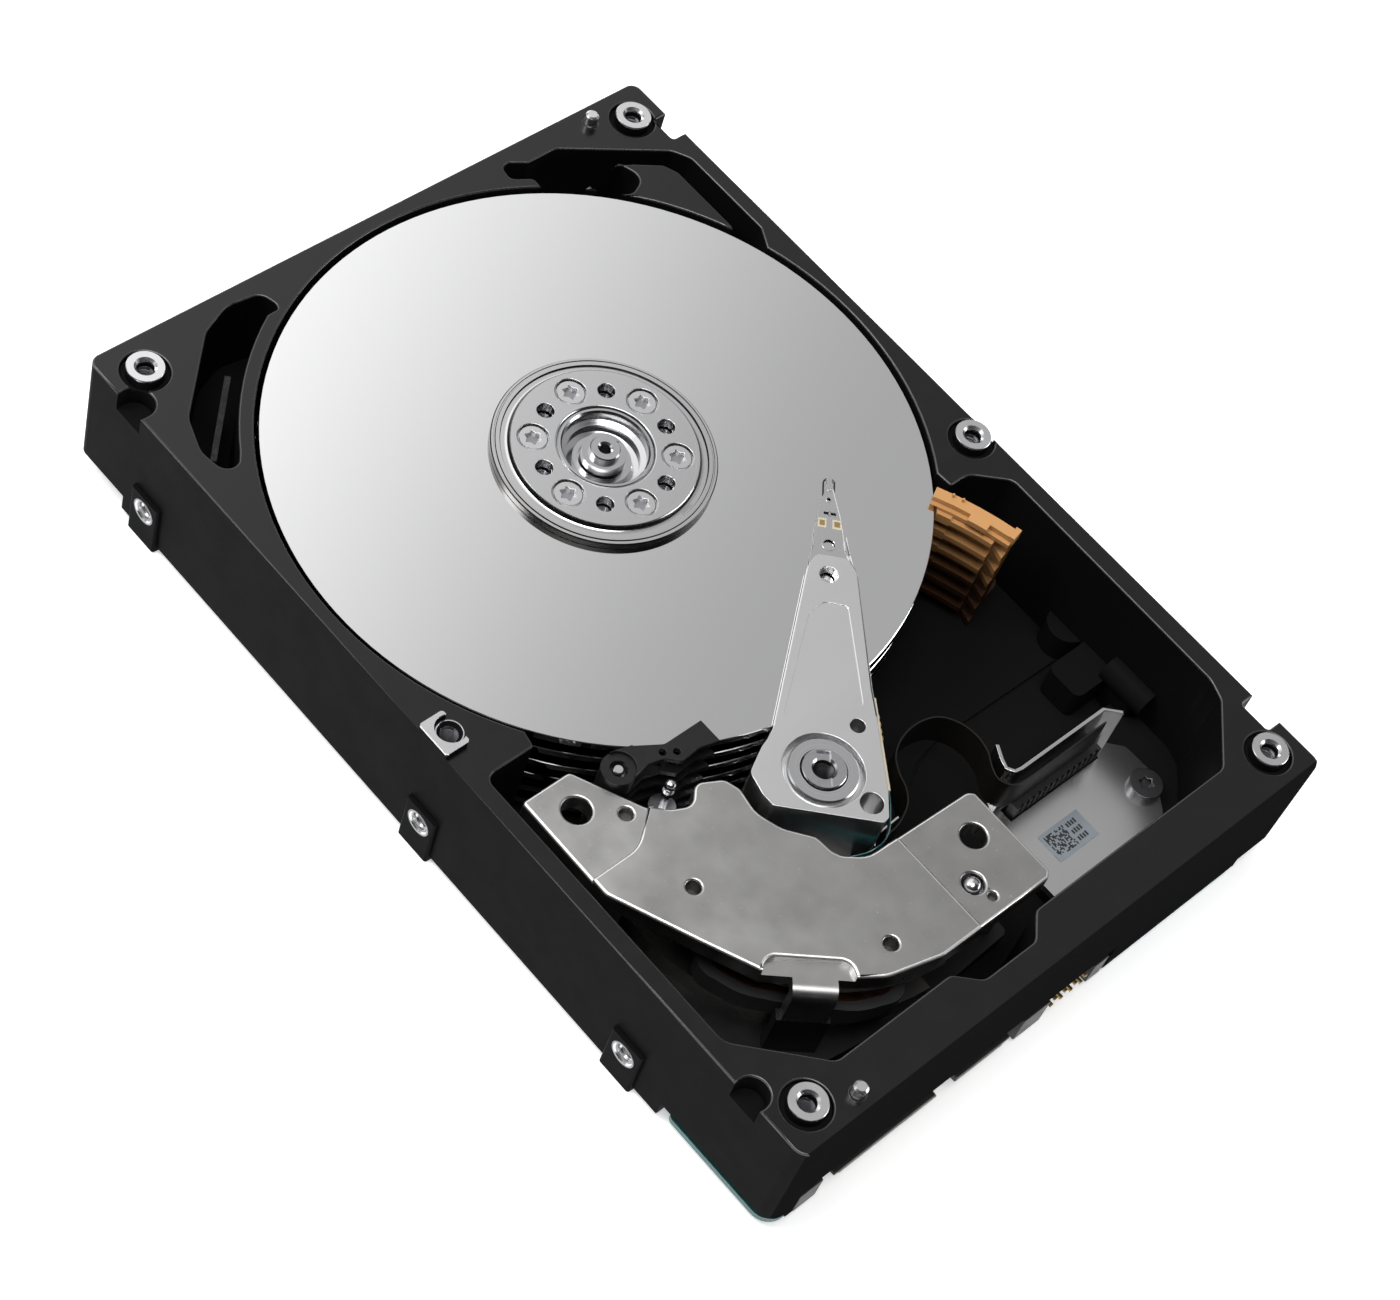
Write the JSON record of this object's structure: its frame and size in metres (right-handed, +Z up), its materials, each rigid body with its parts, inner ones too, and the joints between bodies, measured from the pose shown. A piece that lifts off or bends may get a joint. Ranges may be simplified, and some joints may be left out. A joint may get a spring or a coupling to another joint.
{
  "type": "hard disk drive",
  "caption": "Desktop hard disk drive with its top cover off: stacked mirror platters, swinging comb arm with voice coil, parking ramp and circuit board in a black cast base.",
  "frame": {"origin": "centre of the footprint at the lowest face, the underside of the side pads", "axes": "+X across the drive, +Y from the connector end to the platter end, +Z up out of the open top"},
  "size_m": [0.1016, 0.1456, 0.025],
  "materials": {
    "black_coat": "satin black e-coat on die-cast aluminium",
    "pin_steel": "ground steel",
    "felt": "white felt",
    "shaft_steel": "ground steel",
    "lamination": "electrical steel",
    "copper_wire": "enamelled copper",
    "hub_metal": "turned and polished",
    "magnet_ring": "bonded magnet",
    "platter_mirror": "mirror polished",
    "spacer_metal": "turned",
    "clamp_metal": "turned and polished",
    "screw_steel": "bright zinc",
    "bearing_steel": "ground steel",
    "arm_metal": "satin",
    "beam_steel": "stainless sheet",
    "slider_ceramic": "ceramic",
    "coil_resin": "moulded",
    "flex_amber": "polyimide film",
    "chip_black": "moulded",
    "cable_dark": "coated polyimide film",
    "yoke_nickel": "nickel plated",
    "yoke_dark": "black coated steel",
    "magnet_nickel": "nickel plated",
    "stop_steel": "with a rubber sleeve",
    "damper_black": "satin",
    "ramp_tan": "natural",
    "bracket_sheet": "satin sheet",
    "label_paper": "blank adhesive film",
    "dark_screw": "dark zinc",
    "connector_black": "moulded",
    "filter_cloth": "electret cloth",
    "board_green": "solder resist",
    "insulator_sheet": "foam and film",
    "contact_gold": "gold plated"
  },
  "bodies": {
    "base": {"base_casting": "black_coat", "cover_locating_pins": "pin_steel", "breather_filter": "felt", "spindle_shaft": "shaft_steel", "stator_core": "lamination", "stator_coils": "copper_wire", "pivot_shaft": "shaft_steel", "pivot_inner_races": "bearing_steel", "pivot_balls": "bearing_steel", "flex_cable": "cable_dark", "yoke_top_plate": "yoke_nickel", "yoke_bottom_plate": "yoke_dark", "upper_magnet": "magnet_nickel", "lower_magnet": "magnet_nickel", "yoke_posts": "yoke_nickel", "yoke_screws": "screw_steel", "outer_crash_stop": "stop_steel", "inner_crash_stop": "stop_steel", "disk_damper": "damper_black", "damper_screw": "screw_steel", "parking_ramp": "ramp_tan", "ramp_screw": "screw_steel", "cable_bracket": "bracket_sheet", "bracket_label": "label_paper", "bracket_screw": "dark_screw", "cable_connector": "connector_black", "recirculation_filter": "filter_cloth", "circuit_board": "board_green", "board_screws": "screw_steel", "controller_chip": "chip_black", "memory_chip": "chip_black", "motor_driver_chip": "chip_black", "board_insulator": "insulator_sheet", "sata_connector": "connector_black", "sata_contacts": "contact_gold", "jumper_pins": "contact_gold"},
    "spindle": {"spindle_hub": "hub_metal", "rotor_magnet": "magnet_ring", "platter_1": "platter_mirror", "platter_2": "platter_mirror", "platter_3": "platter_mirror", "platter_4": "platter_mirror", "platter_5": "platter_mirror", "platter_6": "platter_mirror", "platter_spacers": "spacer_metal", "disk_clamp": "clamp_metal", "clamp_screws": "screw_steel"},
    "actuator": {"pivot_outer_races": "bearing_steel", "pivot_sleeve": "bearing_steel", "arm_block": "arm_metal", "suspension_plates": "beam_steel", "lower_load_beams": "beam_steel", "upper_load_beams": "beam_steel", "head_sliders": "slider_ceramic", "coil_frame": "coil_resin", "voice_coil": "copper_wire", "preamp_board": "flex_amber", "preamp_chip": "chip_black", "flex_clamp": "screw_steel"}
  },
  "joints": [
    {"name": "spindle_spin", "type": "hinge", "parent": "base", "child": "spindle", "pos_m": [0, 0.02241, 0], "axis": [0, 0, 1], "continuous": true},
    {"name": "arm_swing", "type": "hinge", "parent": "base", "child": "actuator", "pos_m": [-0.01016, -0.03343, 0], "axis": [0, 0, 1], "range_deg": [-26, 14], "deforming": ["flex_cable"]}
  ]
}
